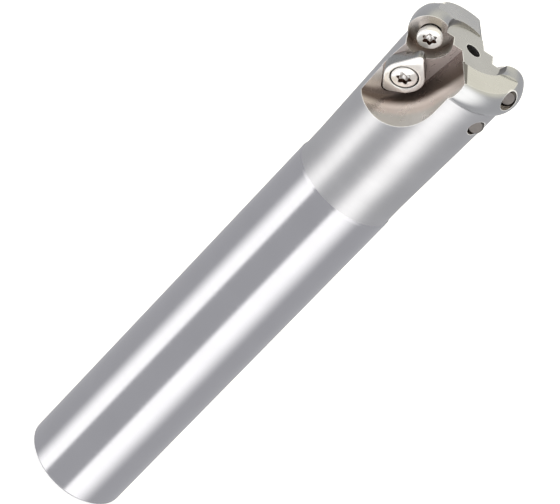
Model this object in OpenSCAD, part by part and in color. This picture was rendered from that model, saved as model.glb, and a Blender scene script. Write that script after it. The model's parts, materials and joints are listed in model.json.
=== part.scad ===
// Shank-type indexable face mill for round inserts, shown without its inserts.
// Upright: the shank end stands on z = 0, the cutting end points along +Z.
// The cutter turns anticlockwise seen from the shank end, so tooth 1 cuts towards +Y.

/* [Shank] */
// Overall length up to the tip of a fitted insert
tool_length = 150; // [140:1:170]
// Diameter of the ground shank
shank_d = 25; // [24.8:0.1:25.4]
// Length of the cylindrical shank
shank_length = 104; // [90:1:105]
// Chamfer on the shank end
shank_chamfer = 0.9; // [0.3:0.1:2]

/* [Neck] */
// Diameter of the short relief behind the shank
relief_d = 24.5; // [24:0.1:24.7]
// Length of that relief before the cone starts
relief_length = 5; // [2:0.5:8]
// Diameter of the neck's cone at the head
neck_top_d = 26; // [25.6:0.1:26.4]

/* [Head] */
// Cutting diameter over fitted inserts
cutting_d = 30; // [29.5:0.1:30.5]
// Diameter of a round insert
insert_d = 10; // [9.8:0.1:10.2]
// Thickness of a round insert
insert_t = 3.97; // [3.7:0.01:4.2]
// Tilt of the insert seats, axial rake in degrees
axial_rake = 11; // [9:0.5:12]
// Height of the insert seats over the parallel plane through the axis
seat_h = -1; // [-1.2:0.1:-0.8]
// Depth of the insert pockets below the flute floors
pocket_depth = 3; // [2.6:0.1:3.2]
// Clearance of the pocket wall round an insert
pocket_play = 0.05; // [0.02:0.01:0.1]
// Distance of the end face behind the insert tips
end_face_drop = 2; // [1.8:0.1:2.4]
// Radius of the rounded nose that backs the inserts
nose_r = 4.5; // [4.3:0.05:4.6]
// Distance of the nose's centre from the axis
nose_ring_r = 10; // [9.8:0.05:10]
// Distance of the nose's centre behind the insert tips
nose_drop = 4.55; // [4.5:0.05:4.8]

/* [Flute] */
// Radius of the curved end of each flute
flute_r = 11.7; // [11:0.1:12.5]
// Distance of the flute wall from the axis at the rim
flute_wall_x = 2.25; // [2:0.05:2.6]
// Draft of the flute wall in degrees
flute_draft = 4; // [2:0.5:6]
// Distance of the flute's back end behind the insert tips
flute_length = 24.6; // [23:0.1:26]
// Height of the flat behind the clamp over the axis
run_out_h = 0.1; // [0:0.05:0.4]

/* [Clamp] */
// Distance of the clamp screw from the axis, across the seat
clamp_x = 8.65; // [8.4:0.05:8.8]
// Distance of the clamp screw behind the insert's centre
clamp_back = 9.45; // [9.2:0.05:9.7]
// Radius of the clamp's round middle
clamp_heel_r = 4.45; // [4.2:0.05:4.5]
// Thickness of the clamp
clamp_t = 3.17; // [3:0.01:3.3]
// Clearance between the clamp and its recess
recess_play = 0.35; // [0.25:0.05:0.5]

/* [Screws] */
// Thread diameter of both screws
thread_d = 4; // [3.8:0.1:4]
// Radial play between a thread and its hole
thread_play = 0.05; // [0.03:0.01:0.1]
// Head diameter of an insert screw
insert_head_d = 5.56; // [5.4:0.02:5.7]
// Head diameter of a clamp screw
clamp_head_d = 5.74; // [5.6:0.02:5.8]
// Diameter over the lobes of the six-lobe sockets
socket_d = 3.3; // [3.1:0.1:3.4]

/* [Hidden] */
$fn = 96;

far = 60;                                        // reach of a cutting block
contact_gap = 0.03;                              // between faces of two bodies
link_bite = 0.02;                                // overlap of joined outline shapes
insert_r = insert_d / 2;
insert_z = tool_length - insert_r;               // origin height of the seat frame
end_face_z = tool_length - end_face_drop;
seat_top_h = seat_h + insert_t;                  // top face of a fitted insert
floor_h = seat_h + pocket_depth;                 // flute floor beside the pocket
insert_x = sqrt(pow(cutting_d / 2, 2) - pow(seat_top_h, 2)) - insert_r;
insert_y = insert_r - (insert_r + seat_top_h * sin(axial_rake)) / cos(axial_rake);
clamp_y = insert_y + clamp_back;
body_steel = [0.62, 0.62, 0.63];
clamp_steel = [0.83, 0.82, 0.80];
screw_steel = [0.74, 0.73, 0.72];

// Neck and shank
step_length = 0.6;
cone_start_z = shank_length + relief_length;
cone_end_z = 138.5;
head_base_z = 143;
coolant_r = 1.8;
coolant_depth = 12;
centre_r = 2.6;
centre_pilot_r = 1.25;
centre_depth = 6;

// Dished end face, and the end relief behind each tooth
dish_r = 7.1;
dish_wall = 60;                                  // degrees
dish_wall_h = 2;
relief_slope = 6;                                // degrees across the end
relief_dish = 3;                                 // degrees down towards the rim
relief_rim_h = end_face_z + 0.15;
relief_start_y = -6.2;
relief_ramp = 44;                                // degrees, up to the nose
lip_width = 0.5;
lip_slope = 25;                                  // degrees

// Clamp outline: nose towards the insert, tail towards the shank
nose_at = [0.65, -6.2];
nose_tip_r = 1.05;
tail_at = [0.1, 5.8];
tail_r = 1.3;
clamp_top_h = floor_h + contact_gap + clamp_t;
nose_relief_y = -3.9;
tail_slope = 26;                                 // degrees
tail_slope_y = 3.4;
counterbore_depth = 1.9;
counterbore_r = clamp_head_d / 2 + 0.25;
clamp_hole_r = thread_d / 2 + 0.25;
recess_h = 6;                                    // reach of the recess, short of the flute's back

// Screws
thread_r = thread_d / 2 - thread_play;
hole_r = thread_d / 2;
entry_r = hole_r + 0.35;
insert_head_h = 2.5;                             // head top over the seat
insert_rim_h = 1.1;
insert_screw_length = 10;
clamp_screw_length = 12.6;
clamp_dome_h = 0.3;
screw_tip_chamfer = 0.5;
socket_depth = 1.3;
hole_reach = 22;

// Tooth 2 is tooth 1 turned half a turn about the axis
module tooth(number) {
    rotate([0, 0, 180 * (number - 1)]) children();
}

// Seat frame: +X outwards, +Y towards the shank, +Z square to the insert seat
module seat_frame() {
    translate([0, 0, insert_z]) rotate([-90 - axial_rake, 0, 0]) children();
}

// An arm that tapers from a round hub at the origin to a round end
// Its straight sides run link_bite inside both rounds, so the shapes overlap and never just touch
module arm(hub_r, end_at, end_r, height) {
    heading = atan2(end_at[1], end_at[0]);
    spread = acos((hub_r - end_r) / norm(end_at));
    left = [cos(heading + spread), sin(heading + spread)];
    right = [cos(heading - spread), sin(heading - spread)];
    translate(end_at) cylinder(r = end_r, h = height);
    linear_extrude(height = height) polygon([
        (hub_r - link_bite) * left,
        end_at + (end_r - link_bite) * left,
        end_at + (end_r - link_bite) * right,
        (hub_r - link_bite) * right
    ]);
}

// Turned blank: shank, relief, cone, end face and the rounded nose ring
module blank() {
    rotate_extrude() polygon([
        [0, 0],
        [shank_d / 2 - shank_chamfer, 0],
        [shank_d / 2, shank_chamfer],
        [shank_d / 2, shank_length - step_length],
        [relief_d / 2, shank_length],
        [relief_d / 2, cone_start_z],
        [neck_top_d / 2, cone_end_z],
        [neck_top_d / 2, head_base_z],
        [nose_ring_r, end_face_z],
        [0, end_face_z]
    ]);
    rotate_extrude()
        translate([nose_ring_r, tool_length - nose_drop]) circle(r = nose_r);
}

// Chip flute: a drafted wall with a round back end over two flat floors
module flute() {
    intersection() {
        translate([flute_wall_x, shank_d / 2, 0]) rotate([0, 0, flute_draft]) {
            back_z = tool_length - flute_length + flute_r;
            translate([flute_r, -far / 2, back_z]) rotate([-90, 0, 0]) cylinder(r = flute_r, h = far);
            translate([0, -far / 2, back_z]) cube([far, far, far]);
        }
        seat_frame() translate([-far / 2, -far / 2, floor_h]) cube(far);
        translate([-far / 2, run_out_h, insert_z - far / 2]) cube(far);
    }
}

// Round insert pocket, open at the rim and at the end
module pocket() {
    seat_frame() translate([insert_x, insert_y, seat_h])
        cylinder(r = insert_r + pocket_play, h = far / 2);
}

// Recess that holds the middle and the tail of the clamp
module clamp_recess() {
    seat_frame() translate([clamp_x, clamp_y, floor_h]) {
        cylinder(r = clamp_heel_r + recess_play, h = recess_h);
        arm(clamp_heel_r + recess_play, tail_at, tail_r + recess_play, recess_h);
    }
}

// Tapped hole through the tooth, with a countersunk mouth
module tapped_hole(x, y, mouth_h) {
    mouth = entry_r - hole_r;
    seat_frame() translate([x, y, mouth_h]) {
        translate([0, 0, -hole_reach]) cylinder(r = hole_r, h = hole_reach + 1);
        translate([0, 0, -mouth]) cylinder(r1 = hole_r, r2 = entry_r + mouth, h = 2 * mouth);
    }
}

// The plane of the end relief, with its origin at the rim
module relief_plane() {
    translate([0, -shank_d / 2, relief_rim_h]) rotate([relief_dish, -relief_slope, 0]) children();
}

// Clearance ground on the end behind the nose, and the bevel on its flute edge
module end_relief() {
    intersection() {
        relief_plane() translate([-far / 2, -far / 2, 0]) cube(far);
        translate([0, relief_start_y, end_face_z]) rotate([relief_ramp, 0, 0])
            translate([-far / 2, -far / 2, 0]) cube(far);
        translate([-far / 2, -far, insert_z]) cube(far);
    }
    relief_plane() translate([lip_width - flute_wall_x, 0, 0]) rotate([0, -lip_slope, 0])
        translate([-far, -far, 0]) cube([far, far + shank_d / 2 + relief_start_y, far]);
}

module cutter_body() {
    color(body_steel) difference() {
        blank();
        for (number = [1, 2]) tooth(number) {
            flute();
            pocket();
            clamp_recess();
            tapped_hole(insert_x, insert_y, seat_h);
            tapped_hole(clamp_x, clamp_y, floor_h);
            end_relief();
        }
        translate([0, 0, end_face_z])
            cylinder(r1 = dish_r, r2 = dish_r + dish_wall_h / tan(dish_wall), h = dish_wall_h);
        translate([0, 0, end_face_z - coolant_depth]) cylinder(r = coolant_r, h = far);
        translate([0, 0, end_face_z - coolant_depth - coolant_r / 2])
            cylinder(r1 = 0, r2 = coolant_r, h = coolant_r / 2);
        cylinder(r1 = centre_r, r2 = 0, h = centre_r / tan(30));
        cylinder(r = centre_pilot_r, h = centre_depth);
    }
}

module clamp() {
    color(clamp_steel) seat_frame() translate([clamp_x, clamp_y, floor_h + contact_gap])
        difference() {
            union() {
                cylinder(r = clamp_heel_r, h = clamp_t);
                arm(clamp_heel_r, nose_at, nose_tip_r, clamp_t);
                arm(clamp_heel_r, tail_at, tail_r, clamp_t);
            }
            translate([-far / 2, nose_relief_y - far, seat_top_h - floor_h - far])
                cube([far, far, far]);
            translate([0, tail_slope_y, clamp_t]) rotate([-tail_slope, 0, 0])
                translate([-far / 2, 0, 0]) cube(far);
            translate([0, 0, -1]) cylinder(r = clamp_hole_r, h = clamp_t + 2);
            translate([0, 0, clamp_t - counterbore_depth]) cylinder(r = counterbore_r, h = far);
        }
}

// Six-lobe socket cut down from z = 0
module socket() {
    lobe_r = 0.45;
    translate([0, 0, -socket_depth]) {
        cylinder(r = 0.78 * socket_d / 2, h = socket_depth + 1);
        for (lobe = [0:5]) rotate([0, 0, 60 * lobe])
            translate([socket_d / 2 - lobe_r, 0, 0]) cylinder(r = lobe_r, h = socket_depth + 1);
    }
}

// Threaded stem from z = 0 down
module stem(length) {
    translate([0, 0, screw_tip_chamfer - length]) cylinder(r = thread_r, h = length - screw_tip_chamfer);
    translate([0, 0, -length]) cylinder(r1 = thread_r - screw_tip_chamfer, r2 = thread_r, h = screw_tip_chamfer);
}

// Countersunk screw that holds an insert, its head standing over the bare seat
module insert_screw() {
    head_r = insert_head_d / 2;
    cone_h = (head_r - thread_r) / tan(30);
    color(screw_steel) seat_frame() translate([insert_x, insert_y, seat_h + insert_head_h])
        difference() {
            union() {
                translate([0, 0, -insert_rim_h]) cylinder(r = head_r, h = insert_rim_h);
                translate([0, 0, -insert_rim_h - cone_h])
                    cylinder(r1 = thread_r, r2 = head_r, h = cone_h);
                stem(insert_screw_length);
            }
            socket();
        }
}

// Domed screw that pulls a clamp down
module clamp_screw() {
    head_r = clamp_head_d / 2;
    head_h = counterbore_depth - contact_gap;
    dome_r = (head_r * head_r + clamp_dome_h * clamp_dome_h) / (2 * clamp_dome_h);
    color(screw_steel) seat_frame() translate([clamp_x, clamp_y, clamp_top_h])
        difference() {
            union() {
                intersection() {
                    translate([0, 0, -head_h]) cylinder(r = head_r, h = head_h + clamp_dome_h);
                    translate([0, 0, clamp_dome_h - dome_r]) sphere(r = dome_r);
                }
                translate([0, 0, -head_h]) stem(clamp_screw_length - head_h);
            }
            translate([0, 0, clamp_dome_h]) socket();
        }
}

cutter_body();
tooth(1) clamp();  // clamp_1
tooth(2) clamp();  // clamp_2
tooth(1) clamp_screw();  // clamp_screw_1
tooth(2) clamp_screw();  // clamp_screw_2
tooth(1) insert_screw();  // insert_screw_1
tooth(2) insert_screw();  // insert_screw_2
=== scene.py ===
"""Shank-type face mill for round inserts, shown standing on its shank end without its inserts.

Lengths in this file are millimetres unless a name says otherwise. MM turns them into metres.
"""

import json
import math
from functools import partial

import bmesh
import bpy
from mathutils import Matrix, Vector


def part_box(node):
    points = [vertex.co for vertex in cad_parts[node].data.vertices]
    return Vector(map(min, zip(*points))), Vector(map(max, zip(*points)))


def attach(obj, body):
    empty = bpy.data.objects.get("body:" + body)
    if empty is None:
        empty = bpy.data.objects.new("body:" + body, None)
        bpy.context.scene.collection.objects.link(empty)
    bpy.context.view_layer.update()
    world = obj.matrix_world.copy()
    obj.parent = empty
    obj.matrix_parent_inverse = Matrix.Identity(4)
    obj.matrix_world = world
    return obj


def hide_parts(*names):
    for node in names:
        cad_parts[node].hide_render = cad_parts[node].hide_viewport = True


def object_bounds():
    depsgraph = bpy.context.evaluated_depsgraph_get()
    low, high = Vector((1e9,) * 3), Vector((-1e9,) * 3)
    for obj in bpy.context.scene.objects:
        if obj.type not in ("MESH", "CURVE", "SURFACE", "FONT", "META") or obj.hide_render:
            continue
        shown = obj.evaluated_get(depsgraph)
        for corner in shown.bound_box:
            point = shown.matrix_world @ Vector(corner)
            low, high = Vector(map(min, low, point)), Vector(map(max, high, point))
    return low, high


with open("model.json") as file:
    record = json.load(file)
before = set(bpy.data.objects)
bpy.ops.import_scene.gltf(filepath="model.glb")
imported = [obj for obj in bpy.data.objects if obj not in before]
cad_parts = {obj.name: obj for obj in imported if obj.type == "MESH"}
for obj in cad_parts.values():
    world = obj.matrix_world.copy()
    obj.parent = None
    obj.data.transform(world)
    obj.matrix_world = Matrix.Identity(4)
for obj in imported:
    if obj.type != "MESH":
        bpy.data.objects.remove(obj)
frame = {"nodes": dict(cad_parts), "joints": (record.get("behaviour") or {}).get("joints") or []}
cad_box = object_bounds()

MM = 0.001
TEETH = (1, 2)
JOINTS = {joint["name"]: joint for joint in frame["joints"]}

# The turned blank
SHANK_R = 12.5
NECK_START = 104.0                  # the step down from the shank ends here
RELIEF_R = 12.25                    # short relief behind the shank
CONE_START = 109.0
CONE_END = 138.5
NECK_TOP_R = 13.0
NOSE_R = 4.5                        # rounded nose ring
NOSE_RING_R = 10.0
NOSE_Z = 145.45
END_FACE = 148.0
COOLANT_R = 1.8

# Flute 1, its pocket and its recess
SEAT_Z = 145.0                      # origin height of the tilted seat frame on the axis
SEAT_H = -1.0                       # insert seat in that frame
FLOOR_H = 2.0                       # flute floor in that frame
RUN_OUT_Y = 0.1                     # flat behind the clamp
WALL_X = 2.25
WALL_DRAFT = 4
BOWL_R = 11.7
BOWL_Z = 137.1
FLUTE_START = 120.0                 # nothing is milled below this
INSERT_AT = (9.703, -0.6709)
CLAMP_AT = (8.65, 8.7791)
TAIL_AT = (8.75, 14.5791)
POCKET_R = 5.05
RECESS_R = 4.8
RECESS_TAIL_R = 1.65
HOLE_R = 2.0
RELIEF_RIM_Z = 148.15
RELIEF_DISH = 3
RELIEF_SLOPE = 6
LIP_SLOPE = 25
LIP_WIDTH = 0.5

ON_SURFACE = 0.02                   # how near a corner lies to the surface that it is on
EDGE_ROUND = 0.18                   # broken edges of the steel body
# the pale line along the edges is a painted highlight
EDGE_GLINT = 0.25                   # width of the pale line along them
CLAMP_ROUND = 0.3                   # tumbled edges of the clamps

# Screws
THREAD_PITCH = 0.7
THREAD_CREST = 1.94
THREAD_DEPTH = 0.3
SCREW_SEGMENTS = 72
SOCKET_R = 1.42
SOCKET_LOBE = 0.23
SOCKET_DEPTH = 1.25
SOCKET_TIP_R = 0.35                 # the drill point at the bottom of the socket
SOCKET_TIP_DEPTH = 0.25
LAND_R = 1.9                        # where the flat round the socket's chamfer starts
STEM_CHAMFER = 0.5
RINGS_A_TURN = 12
INSERT_HEAD_H = 2.5                 # top of an insert screw's head over the seat
INSERT_HEAD_R = 2.77
INSERT_RIM_H = 1.1                  # the head's cylindrical rim, above its cone
INSERT_CONE = 30                    # degrees from the screw's axis
INSERT_LENGTH = 10.0
INSERT_SPIN = 5                     # how far the socket is turned round, in degrees
CLAMP_HEAD_R = 2.86
CLAMP_HEAD_H = 1.87
CLAMP_DOME = 0.3                    # how far the head bulges over its rim
CLAMP_LENGTH = 12.6
CLAMP_SPIN = 20


# ---------------------------------------------------------------- small tools

def linear(colour):
    """An sRGB hex colour as linear RGBA."""
    parts = [int(colour[i:i + 2], 16) / 255 for i in (1, 3, 5)]
    return [p / 12.92 if p <= 0.04045 else ((p + 0.055) / 1.055) ** 2.4 for p in parts] + [1.0]


def add(tree, kind, inputs=None, links=None, **settings):
    """Adds a node with its settings, its input values and links into its inputs."""
    node = tree.nodes.new(kind)
    for name, value in settings.items():
        setattr(node, name, value)
    for socket, value in (inputs or {}).items():
        node.inputs[socket].default_value = value
    for socket, source in (links or {}).items():
        tree.links.new(source, node.inputs[socket])
    return node


def arithmetic(tree, operation, *values):
    """The result of an operation on numbers and sockets."""
    node = add(tree, "ShaderNodeMath", operation=operation)
    for index, value in enumerate(values):
        if isinstance(value, (int, float)):
            node.inputs[index].default_value = value
        else:
            tree.links.new(value, node.inputs[index])
    return node.outputs[0]


def new_object(name, data):
    """A new object in the scene, at the origin."""
    obj = bpy.data.objects.new(name, data)
    bpy.context.scene.collection.objects.link(obj)
    return obj


def joint_axis(joint):
    """A joint's direction as a unit vector."""
    return Vector(JOINTS[joint]["axis"]).normalized()


def mesh_from(bm, name):
    """Turns an edit mesh into a mesh and frees it."""
    mesh = bpy.data.meshes.new(name)
    bm.to_mesh(mesh)
    bm.free()
    return mesh


# ---------------------------------------------------------------- materials

def start_material(name):
    """A new material with its shader and the Object coordinates that its patterns use."""
    made = bpy.data.materials.new(name)
    made.use_nodes = True
    tree = made.node_tree
    shader = tree.nodes["Principled BSDF"]
    place = add(tree, "ShaderNodeTexCoord").outputs["Object"]
    return made, tree, shader, place


def stretched_noise(tree, place, across_mm, along_mm):
    """Noise whose grain is across_mm wide in X and Y and along_mm wide in Z."""
    mapping = add(tree, "ShaderNodeMapping",
                  {"Scale": (1 / (across_mm * MM), 1 / (across_mm * MM), 1 / (along_mm * MM))},
                  {"Vector": place})
    return add(tree, "ShaderNodeTexNoise", {"Scale": 1.0, "Detail": 2.0},
               {"Vector": mapping.outputs["Vector"]}).outputs["Fac"]


def spread(tree, fac, low, high):
    """Maps a pattern's middle range onto low to high."""
    return add(tree, "ShaderNodeMapRange",
               {"From Min": 0.3, "From Max": 0.7, "To Min": low, "To Max": high},
               {"Value": fac}).outputs["Result"]


def two_tone(tree, fac, dark, light):
    """A colour between two close shades, following a pattern."""
    mix = add(tree, "ShaderNodeMix", {6: linear(dark), 7: linear(light)}, {0: fac},
              data_type="RGBA")
    return mix.outputs[2]


def paint_edge_highlight(tree, shader, colour, metallic):
    """Turns outer edges into a thin pale line, a painted highlight where rays cast inside the piece
    soon meet another face.
    """
    inside = add(tree, "ShaderNodeAmbientOcclusion", {"Distance": EDGE_GLINT * MM},
                 samples=8, inside=True, only_local=True)
    edge = add(tree, "ShaderNodeMapRange", {"From Min": 0.93, "From Max": 0.6},
               {"Value": inside.outputs["AO"]})
    shade = add(tree, "ShaderNodeMix", {7: linear("#ffffff")},
                {0: edge.outputs[0], 6: colour}, data_type="RGBA")
    blend = add(tree, "ShaderNodeMapRange", {"To Min": metallic, "To Max": 0.15},
                {"Value": edge.outputs[0]})
    tree.links.new(shade.outputs[2], shader.inputs["Base Color"])
    tree.links.new(blend.outputs[0], shader.inputs["Metallic"])


def bump(tree, height, depth_mm, broken_edges=True):
    """Relief of a depth in mm, with the piece's edges broken by a small radius."""
    made = add(tree, "ShaderNodeBump", {"Distance": depth_mm * MM}, {"Height": height})
    if broken_edges:
        broken = add(tree, "ShaderNodeBevel", {"Radius": EDGE_ROUND * MM}, samples=8)
        tree.links.new(broken.outputs["Normal"], made.inputs["Normal"])
    return made.outputs["Normal"]


def steel(name, dark, light, roughness, marks, mark_depth, metallic=1.0, broken_edges=True):
    """Bare tool steel. marks is the size of the tool marks in mm, across and along."""
    made, tree, shader, place = start_material(name)
    shader.inputs["Metallic"].default_value = metallic
    lines = stretched_noise(tree, place, marks[0], marks[1])
    cloud = stretched_noise(tree, place, 9.0, 9.0)
    colour = two_tone(tree, spread(tree, cloud, 0, 1), dark, light)
    tree.links.new(colour, shader.inputs["Base Color"])
    # broken_edges also paints a pale highlight along the outer edges
    if broken_edges:
        paint_edge_highlight(tree, shader, colour, metallic)
    tree.links.new(spread(tree, lines, roughness[0], roughness[1]), shader.inputs["Roughness"])
    tree.links.new(bump(tree, lines, mark_depth, broken_edges), shader.inputs["Normal"])
    return made


def ground_shank():
    """Hardened steel, cylindrically ground: near mirror, with the wheel's faint rings round it."""
    return steel("ground_hardened_steel", "#c7c7ca", "#cacacd", (0.13, 0.19), (30, 0.35), 0.0006)


def turned_neck():
    """Hardened steel, turned and blasted lightly: satin, its highlights wide and soft."""
    return steel("satin_turned_steel", "#cacacb", "#d2d2d3", (0.33, 0.38), (30, 0.25), 0.0004)


def turned_nose():
    """Hardened steel, turned to a form: smooth, with bright round highlights."""
    return steel("form_turned_steel", "#c2c3c3", "#cbcccc", (0.2, 0.27), (30, 0.2), 0.001)


def turned_end():
    """Faced steel, smooth and satin."""
    return steel("faced_steel", "#cbcbca", "#d4d4d3", (0.24, 0.29), (3, 3), 0.0001)


def ground_relief():
    """Steel ground by a cup wheel to a fine even grain, a shade lighter than the faced end."""
    return steel("relief_ground_steel", "#d5d5d3", "#dddddb", (0.24, 0.3), (3, 3), 0.0001)


def shaded_relief_lip():
    """The narrow ground bevel along the flute's edge, painted darker as the shade of the crease
    beside it.
    """
    return steel("lip_painted_shade_steel", "#7c7a78", "#8a8886", (0.26, 0.32), (3, 3), 0.0001)


def height_shaded_steel(name, lean, stops, roughness, metallic=1.0):
    """Milled steel with a brown tint low down, and with painted shade and painted highlights set by
    its height.

    stops are the shades and the height in mm of each over the origin of the tilted seat frame,
    measured across the flute and leaning towards the end face by lean.
    """
    made, tree, shader, place = start_material(name)
    lines = stretched_noise(tree, place, 4.0, 4.0)
    side = add(tree, "ShaderNodeSeparateXYZ", links={0: place}).outputs
    on_tooth_1 = add(tree, "ShaderNodeMath", {1: 0.0}, {0: side["X"]}, operation="GREATER_THAN")
    sign = add(tree, "ShaderNodeMapRange", {"To Min": -1.0, "To Max": 1.0},
               {"Value": on_tooth_1.outputs[0]})
    across = add(tree, "ShaderNodeMath", links={0: side["Y"], 1: sign.outputs[0]},
                 operation="MULTIPLY")
    drop = add(tree, "ShaderNodeMath", {0: SEAT_Z * MM}, {1: side["Z"]}, operation="SUBTRACT")
    height = add(tree, "ShaderNodeMath", {1: lean},
                 {0: drop.outputs[0], 2: across.outputs[0]}, operation="MULTIPLY_ADD")
    low, high = stops[0][0], stops[-1][0]
    # the colour ramp over this height paints shade and highlights onto the wall
    painted_light_height = add(tree, "ShaderNodeMapRange", {"From Min": low * MM, "From Max": high * MM},
               {"Value": height.outputs[0]})
    ramp = add(tree, "ShaderNodeValToRGB", links={0: painted_light_height.outputs[0]})
    shades = ramp.color_ramp
    shades.interpolation = "EASE"
    while len(shades.elements) < len(stops):
        shades.elements.new(0.5)
    for element, (at, colour) in zip(shades.elements, stops):
        element.position = (at - low) / (high - low)
        element.color = linear(colour)
    # the outer edges get a painted highlight line as well
    paint_edge_highlight(tree, shader, ramp.outputs["Color"], metallic)
    tree.links.new(spread(tree, lines, roughness[0], roughness[1]), shader.inputs["Roughness"])
    tree.links.new(bump(tree, lines, 0.0003, broken_edges=False), shader.inputs["Normal"])
    return made


def milled_wall():
    """The flute's milled wall and round end: mauve-brown low down, painted darker as shade below a
    painted highlight band higher up.
    """
    # the dip at 8.6 mm is painted shade and the near-white band at 11 mm is a painted highlight
    stops = ((4.0, "#a0938e"), (8.6, "#87776f"), (11.0, "#fdf1ea"), (12.4, "#e6dad3"),
             (14.5, "#cfccc8"))
    return height_shaded_steel("milled_flute_painted_light_steel", 0.39, stops, (0.26, 0.32), 0.85)


def milled_floor():
    """End-milled steel, a dull mauve gray with fine straight passes that run along the flute."""
    return steel("milled_floor_steel", "#cdc2c0", "#d9cfcd", (0.26, 0.34), (0.45, 20), 0.0012,
                 metallic=0.6, broken_edges=False)


def pocket_wall():
    """The insert pocket's milled wall: brown and painted darker as shade down at the seat, gray
    with a painted highlight at its rim.
    """
    # dark at the seat as painted shade, pale at the rim as a painted highlight
    stops = ((-0.8, "#96877e"), (2.2, "#e2ddd9"))
    return height_shaded_steel("pocket_wall_painted_light_steel", -SEAT_NORMAL.z, stops, (0.26, 0.32), 0.75)


def ground_seat():
    """The insert's seat, finish-milled flat, gray."""
    return steel("seat_steel", "#b9b3ae", "#c3bdb8", (0.24, 0.29), (2, 6), 0.0002,
                 broken_edges=False)


def polished_clamp():
    """Satin nickel plate over tumbled steel: nearly white, its edges softly rounded."""
    return steel("satin_nickel_plate", "#f4f2f0", "#faf8f7", (0.18, 0.24), (0.6, 0.6), 0.0008,
                 metallic=0.6, broken_edges=False)


def shaded_clamp_side():
    """The clamp's pressed and sintered sides, painted grayer than its top as shade."""
    return steel("clamp_side_painted_shade_steel", "#a2a3a2", "#acadac", (0.26, 0.32), (0.6, 0.6), 0.001,
                 broken_edges=False)


def polished_screw():
    """Bright nickel plate, whiter and smoother than the body."""
    return steel("bright_nickel_plate", "#f1efed", "#f8f6f5", (0.16, 0.22), (0.5, 0.5), 0.0008,
                 metallic=0.6, broken_edges=False)


def rolled_stem():
    """A screw's rolled thread and its tip, dark with oil."""
    return steel("rolled_thread_steel", "#686461", "#767270", (0.3, 0.4), (0.5, 0.5), 0.002,
                 broken_edges=False)


def broached_socket():
    """The socket's broached wall, brown and painted dark as the shade deep in the socket."""
    return steel("socket_painted_shade_steel", "#4a352e", "#5c463d", (0.3, 0.42), (0.3, 1.5), 0.004,
                 broken_edges=False)


def thread_wall(name, joint):
    """The wall of a tapped hole: a helix of ridges, one for each turn of the thread."""
    made, tree, shader, place = start_material(name)
    axis = joint_axis(joint)
    foot = JOINTS[joint].get("pos_m")
    if foot is None:
        foot = centre_of(joint.replace("_out", ""))
    moved = add(tree, "ShaderNodeVectorMath", {1: foot}, {0: place}, operation="SUBTRACT")
    sideways = Vector((1, 0, 0))
    third = axis.cross(sideways)
    parts = []
    for direction in (axis, sideways, third):
        dot = add(tree, "ShaderNodeVectorMath", {1: direction}, {0: moved.outputs[0]},
                  operation="DOT_PRODUCT")
        parts.append(dot.outputs["Value"])
    turns = add(tree, "ShaderNodeMath", {1: 1 / (THREAD_PITCH * MM)}, {0: parts[0]},
                operation="MULTIPLY")
    angle = add(tree, "ShaderNodeMath", links={0: parts[2], 1: parts[1]}, operation="ARCTAN2")
    share = add(tree, "ShaderNodeMath", {1: 1 / math.tau}, {0: angle.outputs[0]},
                operation="MULTIPLY")
    phase = add(tree, "ShaderNodeMath", links={0: turns.outputs[0], 1: share.outputs[0]},
                operation="ADD")
    ridge = add(tree, "ShaderNodeMath", {1: 0.5}, {0: phase.outputs[0]}, operation="PINGPONG")
    shader.inputs["Metallic"].default_value = 1.0
    shader.inputs["Base Color"].default_value = linear("#8f8885")
    shader.inputs["Roughness"].default_value = 0.25
    tree.links.new(bump(tree, ridge.outputs[0], 0.6, broken_edges=False),
                   shader.inputs["Normal"])
    return made


def run_out_flat():
    """The flat that the cutter leaves behind the clamp, milled fine and gray."""
    return steel("run_out_steel", "#b4b1b0", "#bfbcbb", (0.2, 0.27), (0.4, 9), 0.001,
                 broken_edges=False)


def recess_wall():
    """The clamp recess's wall, brown and painted dark as the shade in the recess."""
    return steel("recess_wall_painted_shade_steel", "#6f605a", "#7f706a", (0.3, 0.38), (3, 3), 0.0003,
                 broken_edges=False)


def drilled_hole():
    """A drilled wall, dark with oil, with the drill's rings."""
    return steel("drilled_steel", "#a5a4a6", "#b5b4b6", (0.3, 0.4), (20, 0.3), 0.01)


# ---------------------------------------------------------------- the steel body

def centre_of(node):
    """The middle of a CAD node's box, in metres."""
    low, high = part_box(node)
    return (low + high) / 2


def tooth_turn(tooth):
    """Turns a place on this tooth to where it lies on tooth 1."""
    return Matrix.Rotation(math.pi * (1 - tooth), 3, "Z")


SEAT_NORMAL = joint_axis("insert_screw_1_out")
SEAT_DOWN = SEAT_NORMAL.cross(Vector((1, 0, 0)))
UP = Vector((0, 0, 1))


def seat_point(across, down, height):
    """A place in the tilted frame of tooth 1: outwards, towards the shank, off the seat."""
    return Vector((across, 0, SEAT_Z)) + SEAT_DOWN * down + SEAT_NORMAL * height


def flat(point, normal):
    """A plane, as a function from a place to its distance and the normal there."""
    return lambda place: ((place - point).dot(normal), normal)


def turned(foot, axis, radius, slope=0.0, side=1):
    """A cylinder or cone round an axis. side is -1 where it is the wall of a hole."""
    def measure(place):
        offset = place - foot
        along = offset.dot(axis)
        across = offset - axis * along
        normal = (across.normalized() - axis * slope).normalized()
        return across.length - radius - slope * along, normal * side
    return measure


def nose_ring(place):
    """The rounded nose ring at the head."""
    outwards = Vector((place.x, place.y, 0)).normalized()
    offset = place - outwards * NOSE_RING_R - UP * NOSE_Z
    return offset.length - NOSE_R, offset.normalized()


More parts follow.
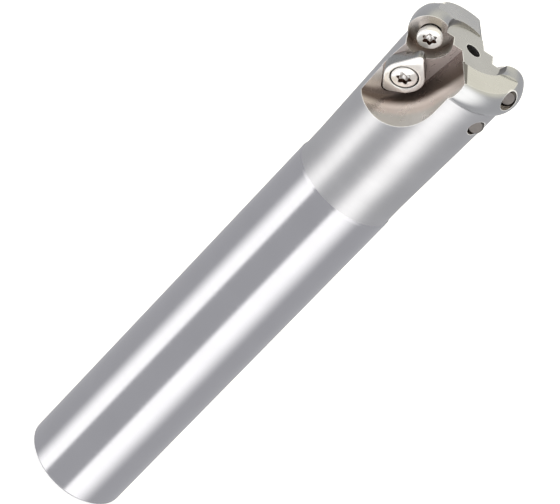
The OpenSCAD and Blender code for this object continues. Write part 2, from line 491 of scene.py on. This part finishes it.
def face_list():
    """Every surface that the body's faces lie on, in the place of tooth 1, with its finish."""
    draft = Matrix.Rotation(math.radians(WALL_DRAFT), 3, "Z")
    wall_normal, wall_along = draft @ Vector((1, 0, 0)), draft @ Vector((0, 1, 0))
    wall_foot = Vector((WALL_X, SHANK_R, BOWL_Z))
    tilt = (Matrix.Rotation(math.radians(RELIEF_DISH), 3, "X"),
            Matrix.Rotation(math.radians(-RELIEF_SLOPE), 3, "Y"))
    relief = (tilt[1] @ tilt[0]) @ UP
    rim = Vector((0, -SHANK_R, RELIEF_RIM_Z))
    lip = tilt[1] @ tilt[0] @ Matrix.Rotation(math.radians(-LIP_SLOPE), 3, "Y") @ UP
    lip_at = tilt[1] @ tilt[0] @ Vector((LIP_WIDTH - WALL_X, 0, 0))
    centre = Vector((0, 0, 0))
    insert_axis, clamp_axis = seat_point(*INSERT_AT, 0), seat_point(*CLAMP_AT, 0)
    cone_slope = (NECK_TOP_R - RELIEF_R) / (CONE_END - CONE_START)
    return [
        ("shank", turned(centre, UP, SHANK_R)),
        ("neck", turned(centre, UP, RELIEF_R)),
        ("neck", turned(UP * CONE_START, UP, RELIEF_R, cone_slope)),
        ("neck", turned(centre, UP, NECK_TOP_R)),
        ("nose", nose_ring),
        ("end", flat(UP * END_FACE, UP)),
        ("relief", flat(rim, relief)),
        ("lip", flat(rim + lip_at, lip)),
        ("drilled", turned(centre, UP, COOLANT_R, side=-1)),
        ("wall", flat(wall_foot, wall_normal)),
        ("wall", turned(wall_foot + wall_normal * BOWL_R, wall_along, BOWL_R, side=-1)),
        ("floor", flat(seat_point(0, 0, FLOOR_H), SEAT_NORMAL)),
        ("run_out", flat(Vector((0, RUN_OUT_Y, 0)), Vector((0, 1, 0)))),
        ("seat", flat(seat_point(0, 0, SEAT_H), SEAT_NORMAL)),
        ("pocket", turned(insert_axis, SEAT_NORMAL, POCKET_R, side=-1)),
        ("recess", turned(clamp_axis, SEAT_NORMAL, RECESS_R, side=-1)),
        ("recess", turned(seat_point(*TAIL_AT, 0), SEAT_NORMAL, RECESS_TAIL_R, side=-1)),
        ("insert_thread", turned(insert_axis, SEAT_NORMAL, HOLE_R, side=-1)),
        ("clamp_thread", turned(clamp_axis, SEAT_NORMAL, HOLE_R, side=-1)),
    ]


def rest_of_body(face):
    """The finish of a face that is on none of the listed surfaces."""
    place, normal = face.calc_center_median(), face.normal
    radius = math.hypot(place.x, place.y)
    if radius < COOLANT_R + 1:
        return "drilled"
    if place.z < NECK_START:
        return "shank"
    if place.z < FLUTE_START:
        return "neck"
    if place.z > END_FACE - 1:
        # faces near the end that face the axis take the lip finish, painted dark as shade
        return "lip" if normal.x * place.x + normal.y * place.y < 0 else "nose"
    # all other faces take the recess finish, painted dark as shade
    return "recess"


def finish_of(face, surfaces):
    """The finish of a face of the body, and the true surface normal at each of its corners."""
    middle = face.calc_center_median()
    for tooth in TEETH:
        turn = tooth_turn(tooth)
        corners = [turn @ corner.co for corner in face.verts]
        facing = turn @ face.normal
        for zone, surface in surfaces:
            if surface(turn @ middle)[1].dot(facing) < 0.9:
                continue
            found = [surface(corner) for corner in corners]
            if max(abs(distance) for distance, normal in found) < ON_SURFACE:
                name = f"{zone}_{tooth}" if zone.endswith("_thread") else zone
                return name, [turn.transposed() @ normal for distance, normal in found]
    return rest_of_body(face), None


def merged_copy(node):
    """A copy of a CAD node's mesh in mm, with its loose triangles joined."""
    bm = bmesh.new()
    bm.from_mesh(frame["nodes"][node].data)
    bmesh.ops.remove_doubles(bm, verts=bm.verts, dist=1e-7)
    bmesh.ops.scale(bm, vec=(1 / MM,) * 3, verts=bm.verts)
    bm.normal_update()
    return bm


def round_edges(obj, width_mm):
    """Rounds the sharp edges of a piece and keeps its flat faces flat in shading."""
    for poly in obj.data.polygons:
        poly.use_smooth = True
    rounding = obj.modifiers.new("round", "BEVEL")
    rounding.width = width_mm * MM
    rounding.segments = 4
    rounding.limit_method = "ANGLE"
    rounding.angle_limit = math.radians(30)
    rounding.harden_normals = True
    rounding.miter_outer = "MITER_ARC"


def body_piece():
    """The one-piece steel body with a finish for each way its faces were made."""
    finishes = {
        "shank": ground_shank(), "neck": turned_neck(), "nose": turned_nose(),
        "end": turned_end(), "relief": ground_relief(), "lip": shaded_relief_lip(),
        "wall": milled_wall(), "floor": milled_floor(), "run_out": run_out_flat(),
        "pocket": pocket_wall(),
        "recess": recess_wall(), "seat": ground_seat(), "drilled": drilled_hole(),
    }
    for tooth in TEETH:
        finishes[f"insert_thread_{tooth}"] = thread_wall(f"tapped_insert_hole_{tooth}",
                                                         f"insert_screw_{tooth}_out")
        finishes[f"clamp_thread_{tooth}"] = thread_wall(f"tapped_clamp_hole_{tooth}",
                                                        f"clamp_screw_{tooth}_turn")
    bm = merged_copy("cutter_body")
    order, surfaces = list(finishes), face_list()
    true_normals = []
    for face in bm.faces:
        finish, normals = finish_of(face, surfaces)
        face.material_index = order.index(finish)
        face.smooth = True
        true_normals.append(normals)
    bmesh.ops.scale(bm, vec=(MM,) * 3, verts=bm.verts)
    body = new_object("steel_body", mesh_from(bm, "steel_body"))
    mesh = body.data
    for finish in finishes.values():
        mesh.materials.append(finish)
    mesh.set_sharp_from_angle(angle=math.radians(25))
    shading = [corner.vector.copy() for corner in mesh.corner_normals]
    for poly, normals in zip(mesh.polygons, true_normals):
        for loop, normal in zip(poly.loop_indices, normals or ()):
            shading[loop] = normal
    mesh.normals_split_custom_set(shading)
    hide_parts("cutter_body")
    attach(body, "cutter")


# ---------------------------------------------------------------- clamps

def clamp_piece(tooth, top, side):
    """A teardrop clamp with tumbled edges, its top in the lit finish and its sides in a copy
    painted darker as shade.
    """
    name = f"clamp_{tooth}"
    bm = merged_copy(name)
    bmesh.ops.dissolve_limit(bm, angle_limit=math.radians(0.3), verts=bm.verts, edges=bm.edges)
    bm.normal_update()
    for face in bm.faces:
        # faces that don't face along the lift take the side finish, painted darker as shade
        face.material_index = int(face.normal.dot(joint_axis(f"clamp_{tooth}_lift")) < 0.8)
    bmesh.ops.scale(bm, vec=(MM,) * 3, verts=bm.verts)
    clamp = new_object(f"teardrop_clamp_{tooth}", mesh_from(bm, f"teardrop_clamp_{tooth}"))
    clamp.data.materials.append(top)
    clamp.data.materials.append(side)
    round_edges(clamp, CLAMP_ROUND)
    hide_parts(name)
    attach(clamp, name)


# ---------------------------------------------------------------- screws

def thread_tree():
    """A node tree that rolls a grid into a stem with a helical thread and a chamfered tip."""
    tree = bpy.data.node_groups.new("threaded_stem", "GeometryNodeTree")
    face = tree.interface
    face.new_socket("Geometry", in_out="OUTPUT", socket_type="NodeSocketGeometry")
    for name, kind in (("Length", "Float"), ("Crest radius", "Float"), ("Pitch", "Float"),
                       ("Depth", "Float"), ("Tip chamfer", "Float"), ("Segments", "Int"),
                       ("Rings", "Int"), ("Finish", "Material")):
        face.new_socket(name, in_out="INPUT", socket_type=f"NodeSocket{kind}")
    given = add(tree, "NodeGroupInput").outputs

    maths = partial(arithmetic, tree)

    columns = maths("ADD", given["Segments"], 1)
    grid = add(tree, "GeometryNodeMeshGrid", {"Size X": 1.0, "Size Y": 1.0},
               {"Vertices X": columns, "Vertices Y": given["Rings"]})
    place = add(tree, "GeometryNodeInputPosition").outputs[0]
    split = add(tree, "ShaderNodeSeparateXYZ", links={0: place}).outputs
    around = maths("ADD", split["X"], 0.5)
    down = maths("MULTIPLY", maths("ADD", split["Y"], 0.5), given["Length"])
    angle = maths("MULTIPLY", around, math.tau)
    phase = maths("ADD", maths("DIVIDE", down, given["Pitch"]), around)
    groove = maths("MULTIPLY", maths("PINGPONG", phase, 0.5), 2.0)
    # the thread grows over its first turn below the head and runs out before the tip
    grown = maths("MINIMUM", maths("DIVIDE", down, given["Pitch"]), 1.0)
    left = maths("SUBTRACT", given["Length"], down)
    tip = maths("MAXIMUM", maths("SUBTRACT", given["Tip chamfer"], left), 0.0)
    cut = maths("MULTIPLY", maths("MULTIPLY", groove, grown), given["Depth"])
    near_tip = maths("MINIMUM", maths("DIVIDE", left, given["Pitch"]), 1.0)
    cut = maths("MULTIPLY", cut, near_tip)
    radius = maths("SUBTRACT", maths("SUBTRACT", given["Crest radius"], cut), tip)
    combined = add(tree, "ShaderNodeCombineXYZ", links={
        "X": maths("MULTIPLY", radius, maths("COSINE", angle)),
        "Y": maths("MULTIPLY", radius, maths("SINE", angle)),
        "Z": maths("MULTIPLY", down, -1.0)}).outputs[0]
    rolled = add(tree, "GeometryNodeSetPosition",
                 links={"Geometry": grid.outputs["Mesh"], "Position": combined})
    closed = add(tree, "GeometryNodeMergeByDistance", {"Distance": 1e-7},
                 {"Geometry": rolled.outputs[0]})
    real = add(tree, "GeometryNodeRealizeInstances", links={"Geometry": closed.outputs[0]})
    painted = add(tree, "GeometryNodeSetMaterial",
                  links={"Geometry": real.outputs[0], "Material": given["Finish"]})
    add(tree, "NodeGroupOutput", links={"Geometry": painted.outputs[0]})
    return tree


def grown_mesh(tree, name, inputs):
    """Runs a node tree with these named inputs and returns the mesh that it makes."""
    carrier = new_object(name, bpy.data.meshes.new(name))
    modifier = carrier.modifiers.new("grow", "NODES")
    modifier.node_group = tree
    for item in tree.interface.items_tree:
        if item.in_out == "INPUT" and item.name in inputs:
            modifier[item.identifier] = inputs[item.name]
    ready = carrier.evaluated_get(bpy.context.evaluated_depsgraph_get())
    mesh = bpy.data.meshes.new_from_object(ready)
    carrier.modifiers.remove(modifier)
    bpy.data.objects.remove(carrier)
    return mesh


def ring(bm, radius_at, height):
    """One ring of vertices round the screw's axis."""
    made = []
    for step in range(SCREW_SEGMENTS):
        angle = math.tau * step / SCREW_SEGMENTS
        radius = radius_at(angle)
        made.append(bm.verts.new((radius * math.cos(angle), radius * math.sin(angle), height)))
    return made


def lobed(shrink):
    """Radius of the six-lobe socket, shrunk inwards by a distance."""
    return lambda angle: SOCKET_R + SOCKET_LOBE * math.cos(6 * angle) - shrink


def plain(radius):
    """A circle's radius, the same at every angle."""
    return lambda angle: radius


def head_mesh(outline, dome):
    """A screw head from its outline of (radius, height) points, with its six-lobe socket."""
    bm = bmesh.new()
    rings = [ring(bm, plain(SOCKET_TIP_R), dome - SOCKET_DEPTH - SOCKET_TIP_DEPTH)]
    for shrink, depth in ((0.12, SOCKET_DEPTH), (0.03, SOCKET_DEPTH - 0.1), (0.0, 0.12),
                          (-0.03, 0.05), (-0.1, 0.0)):
        rings.append(ring(bm, lobed(shrink), dome - depth))
    rings += [ring(bm, plain(radius), height) for radius, height in outline]
    for inner, outer in zip(rings, rings[1:]):
        for step in range(SCREW_SEGMENTS):
            after = (step + 1) % SCREW_SEGMENTS
            bm.faces.new((inner[step], inner[after], outer[after], outer[step]))
    bm.faces.new(rings[0])
    return bm


def rounded(corner, before, after, steps=4):
    """Points on a round that replaces a corner between two points next to it."""
    points = []
    for step in range(steps + 1):
        t = step / steps
        points.append(tuple((1 - t) ** 2 * b + 2 * t * (1 - t) * c + t * t * a
                            for b, c, a in zip(before, corner, after)))
    return points


def insert_head():
    """Outline of the countersunk head, from the socket's land out and down to the stem."""
    rim, rim_h, stem = INSERT_HEAD_R, INSERT_RIM_H, THREAD_CREST
    cone_h = (rim - stem) / math.tan(math.radians(INSERT_CONE))
    return ([(LAND_R, 0.0), (2.3, 0.0)]
            + rounded((rim, 0.0), (rim - 0.28, 0.0), (rim, -0.28))
            + rounded((rim, -rim_h), (rim, -rim_h + 0.08), (rim - 0.05, -rim_h - 0.09))
            + [(stem, -rim_h - cone_h)])


def clamp_head():
    """Outline of the domed cheese head, from the socket's land out and down to the stem."""
    rim, head_h, stem = CLAMP_HEAD_R, CLAMP_HEAD_H, THREAD_CREST
    crown = [(r, CLAMP_DOME * (1 - (r / rim) ** 2)) for r in (LAND_R, 2.15, 2.4)]
    return (crown
            + rounded((rim, 0.0), (rim - 0.26, 0.05), (rim, -0.26))
            + rounded((rim, -head_h), (rim, -head_h + 0.1), (rim - 0.1, -head_h))
            + [(stem, -head_h)])


def in_socket(face, dome):
    """Whether a face of a screw, before it is placed, is on the socket's wall."""
    middle = face.calc_center_median()
    if math.hypot(middle.x, middle.y) > SOCKET_R + SOCKET_LOBE:
        return False
    return dome - 2 < middle.z < dome - 0.06 and abs(face.normal.z) < 0.5


def screw_piece(name, node, place, outline, dome, length, tree, finishes):
    """A screw with its head, socket and thread, standing on its joint's axis."""
    bm = head_mesh(outline, dome)
    stem_top = outline[-1][1]
    stem_length = length + stem_top
    rings = int(stem_length / THREAD_PITCH * RINGS_A_TURN) + 1
    stem = grown_mesh(tree, name + "_stem", {
        "Length": stem_length, "Crest radius": THREAD_CREST, "Pitch": THREAD_PITCH,
        "Depth": THREAD_DEPTH, "Tip chamfer": STEM_CHAMFER, "Segments": SCREW_SEGMENTS,
        "Rings": rings, "Finish": finishes[0]})
    stem.transform(Matrix.Translation((0, 0, stem_top)))
    bm.from_mesh(stem)
    bmesh.ops.remove_doubles(bm, verts=bm.verts, dist=1e-4)
    tips = [edge for edge in bm.edges if edge.is_boundary]
    bmesh.ops.contextual_create(bm, geom=tips)
    bmesh.ops.recalc_face_normals(bm, faces=bm.faces)
    for face in bm.faces:
        face.smooth = True
        on_stem = face.calc_center_median().z < stem_top
        face.material_index = 2 if on_stem else int(in_socket(face, dome))
    bmesh.ops.transform(bm, matrix=place @ Matrix.Scale(MM, 4), verts=bm.verts)
    screw = new_object(name, mesh_from(bm, name))
    for finish in finishes:
        screw.data.materials.append(finish)
    screw.data.set_sharp_from_angle(angle=math.radians(35))
    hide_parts(node)
    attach(screw, node)


def screw_place(axis, foot_mm, spin):
    """The placement of a screw whose head top's centre is at foot_mm, spun about its axis."""
    turn = axis.to_track_quat("Z", "Y").to_matrix().to_4x4()
    return Matrix.Translation(foot_mm * MM) @ turn @ Matrix.Rotation(math.radians(spin), 4, "Z")


def screws():
    """The clamp screw and the insert screw of each tooth."""
    tree = thread_tree()
    finishes = polished_screw(), broached_socket(), rolled_stem()
    for tooth in TEETH:
        axis = joint_axis(f"clamp_screw_{tooth}_turn")
        foot = Vector(JOINTS[f"clamp_screw_{tooth}_turn"]["pos_m"]) / MM
        screw_piece(f"clamp_screw_{tooth}_bright", f"clamp_screw_{tooth}",
                    screw_place(axis, foot, CLAMP_SPIN), clamp_head(), CLAMP_DOME,
                    CLAMP_LENGTH, tree, finishes)
        seat = tooth_turn(tooth) @ seat_point(*INSERT_AT, SEAT_H + INSERT_HEAD_H)
        screw_piece(f"insert_screw_{tooth}_bright", f"insert_screw_{tooth}",
                    screw_place(axis, seat, INSERT_SPIN), insert_head(), 0.0,
                    INSERT_LENGTH, tree, finishes)


# ---------------------------------------------------------------- studio

CAMERA_AZIMUTH = 156.51             # 0 looks along +Y, 90 along -X
CAMERA_ELEVATION = 30.67
CAMERA_ROLL = 43.93
CAMERA_DISTANCE = 744.3
CAMERA_LENS = 216.19
AIM_SHARE = 0.531                   # how far up the tool the camera looks
AIM_Y = 0.2

# The studio's lights: colour, strength, and the degrees round the tool where a box
# fades in and out, 0 where the camera stands
ROOM = ("#fbfbff", 0.56)
SOFT_BOX = ("#fffdfa", 1.25)
CEILING = ("#fff6ca", 0.44)
LEFT_BOX = (-86, -54, -40, -33)
RIGHT_BOX = (17, 25, 44, 88)


def camera():
    """The camera: a long lens, looking down on the tool and tilted to lie it across the frame."""
    high = cad_box[1]
    aim = Vector((0, AIM_Y * MM, high.z * AIM_SHARE))
    azimuth, elevation = math.radians(CAMERA_AZIMUTH), math.radians(CAMERA_ELEVATION)
    forward = Vector((-math.sin(azimuth) * math.cos(elevation),
                      math.cos(azimuth) * math.cos(elevation), -math.sin(elevation)))
    data = bpy.data.cameras.new("camera")
    data.lens = CAMERA_LENS
    data.sensor_width = 36
    data.clip_end = 10
    obj = new_object("camera", data)
    aimed = forward.to_track_quat("-Z", "Y").to_matrix().to_4x4()
    roll = Matrix.Rotation(math.radians(CAMERA_ROLL), 4, "Z")
    obj.matrix_world = Matrix.Translation(aim - forward * CAMERA_DISTANCE * MM) @ aimed @ roll
    bpy.context.scene.camera = obj


def studio_light():
    """A dim room with two tall soft boxes, one on each side of the camera, and a pale ceiling."""
    world = bpy.data.worlds.new("studio")
    bpy.context.scene.world = world
    world.use_nodes = True
    tree = world.node_tree
    split = add(tree, "ShaderNodeSeparateXYZ",
                links={0: add(tree, "ShaderNodeTexCoord").outputs["Generated"]}).outputs

    maths = partial(arithmetic, tree)

    def ramp(value, low, high, start, end):
        return add(tree, "ShaderNodeMapRange",
                   {"From Min": low, "From Max": high, "To Min": start, "To Max": end},
                   {"Value": value}, interpolation_type="SMOOTHSTEP").outputs[0]

    # azimuth in degrees, 0 where the camera stands and growing anticlockwise
    facing = math.radians(CAMERA_AZIMUTH - 90)
    ahead = maths("ADD", maths("MULTIPLY", split["X"], math.cos(facing)),
                  maths("MULTIPLY", split["Y"], math.sin(facing)))
    aside = maths("ADD", maths("MULTIPLY", split["X"], -math.sin(facing)),
                  maths("MULTIPLY", split["Y"], math.cos(facing)))
    azimuth = maths("MULTIPLY", maths("ARCTAN2", aside, ahead), 180 / math.pi)
    left_box, right_box = (
        maths("MULTIPLY", ramp(azimuth, box[0], box[1], 0, 1), ramp(azimuth, box[2], box[3], 1, 0))
        for box in (LEFT_BOX, RIGHT_BOX))
    reach = maths("MULTIPLY", ramp(split["Z"], -1.0, -0.92, 0, 1),
                  ramp(split["Z"], 0.2, 0.6, 1, 0))
    boxes = maths("MULTIPLY", maths("ADD", left_box, right_box), reach)
    ceiling = ramp(split["Z"], 0.3, 0.6, 0, 1)
    total = None
    for (shade, strength), share in ((ROOM, 1.0), (SOFT_BOX, boxes), (CEILING, ceiling)):
        light = add(tree, "ShaderNodeVectorMath", {0: linear(shade)[:3]}, operation="SCALE")
        tree.links.new(maths("MULTIPLY", share, strength), light.inputs["Scale"])
        if total:
            light = add(tree, "ShaderNodeVectorMath",
                        links={0: total.outputs[0], 1: light.outputs[0]})
        total = light
    background = tree.nodes["Background"]
    background.inputs["Strength"].default_value = 1.0
    tree.links.new(total.outputs[0], background.inputs["Color"])
    world.cycles.sampling_method = "MANUAL"
    world.cycles.sample_map_resolution = 1024


def floor():
    """A plain pale floor that the tool stands on."""
    bm = bmesh.new()
    bmesh.ops.create_grid(bm, x_segments=1, y_segments=1, size=6.0)
    stand = new_object("floor", mesh_from(bm, "floor"))
    made = bpy.data.materials.new("pale_floor")
    made.use_nodes = True
    shader = made.node_tree.nodes["Principled BSDF"]
    shader.inputs["Base Color"].default_value = linear("#f4f4f4")
    shader.inputs["Roughness"].default_value = 1.0
    shader.inputs["Specular IOR Level"].default_value = 0.0
    shader.inputs["Emission Color"].default_value = linear("#ffffff")
    shader.inputs["Emission Strength"].default_value = 0.55
    stand.data.materials.append(made)
    stand.visible_glossy = False


camera()
studio_light()
floor()
body_piece()
lit_clamp_top, shaded_clamp_flank = polished_clamp(), shaded_clamp_side()
for tooth in TEETH:
    clamp_piece(tooth, lit_clamp_top, shaded_clamp_flank)
screws()
bpy.context.scene.view_settings.view_transform = "Standard"
